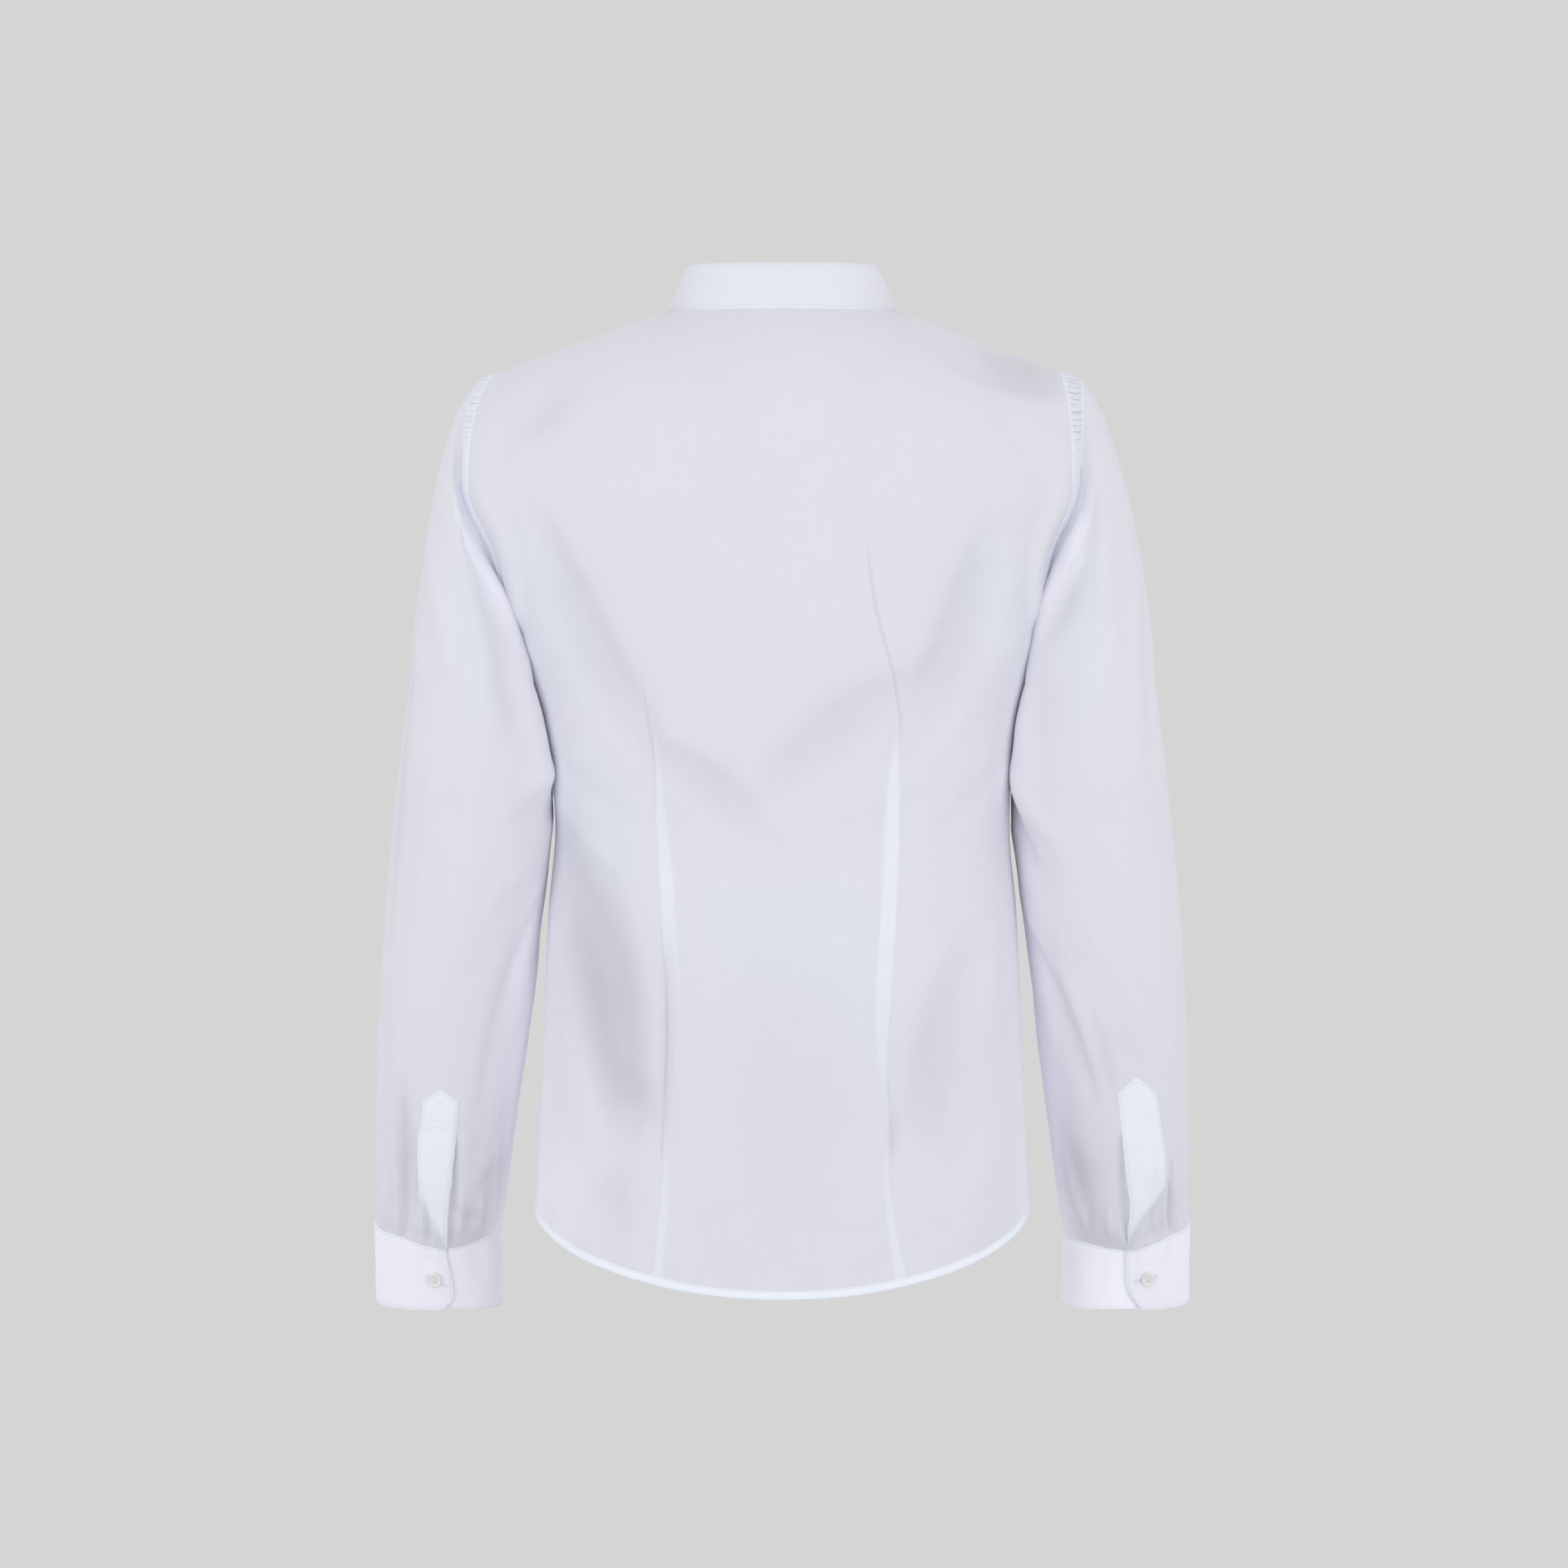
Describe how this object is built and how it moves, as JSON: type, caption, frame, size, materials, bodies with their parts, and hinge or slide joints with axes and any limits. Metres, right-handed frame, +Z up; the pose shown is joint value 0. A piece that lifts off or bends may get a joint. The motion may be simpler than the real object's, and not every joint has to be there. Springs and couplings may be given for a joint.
{
  "type": "mandarin collar blouse",
  "caption": "Long-sleeved blouse with a stand collar, buttoned front, waist darts, buttoned cuffs and a curved hem, filled out as worn.",
  "frame": {"origin": "middle of the neck base, level with the points where the shoulder seams meet the collar", "axes": "+Z up, the front of the blouse faces -Y, the wearer's left is +X"},
  "size_m": [0.5528, 0.2316, 0.7039],
  "materials": {
    "cotton": "fine plain weave, single layer, matt with a slight sheen",
    "doubled_cotton": "the same plain weave in two layers, pressed flat",
    "button": "pearly grey, glossy, four holes"
  },
  "bodies": {
    "root": {"back": "cotton", "front_left": "cotton", "front_right": "cotton", "collar_band": "doubled_cotton", "sleeve_left": "cotton", "sleeve_right": "cotton", "sleeve_placket_left": "doubled_cotton", "sleeve_placket_right": "doubled_cotton", "cuff_left": "doubled_cotton", "cuff_right": "doubled_cotton", "cuff_button_left": "button", "cuff_button_right": "button", "front_button_1": "button", "front_button_2": "button", "front_button_3": "button", "front_button_4": "button", "front_button_5": "button", "front_button_6": "button", "front_button_7": "button"}
  },
  "joints": []
}
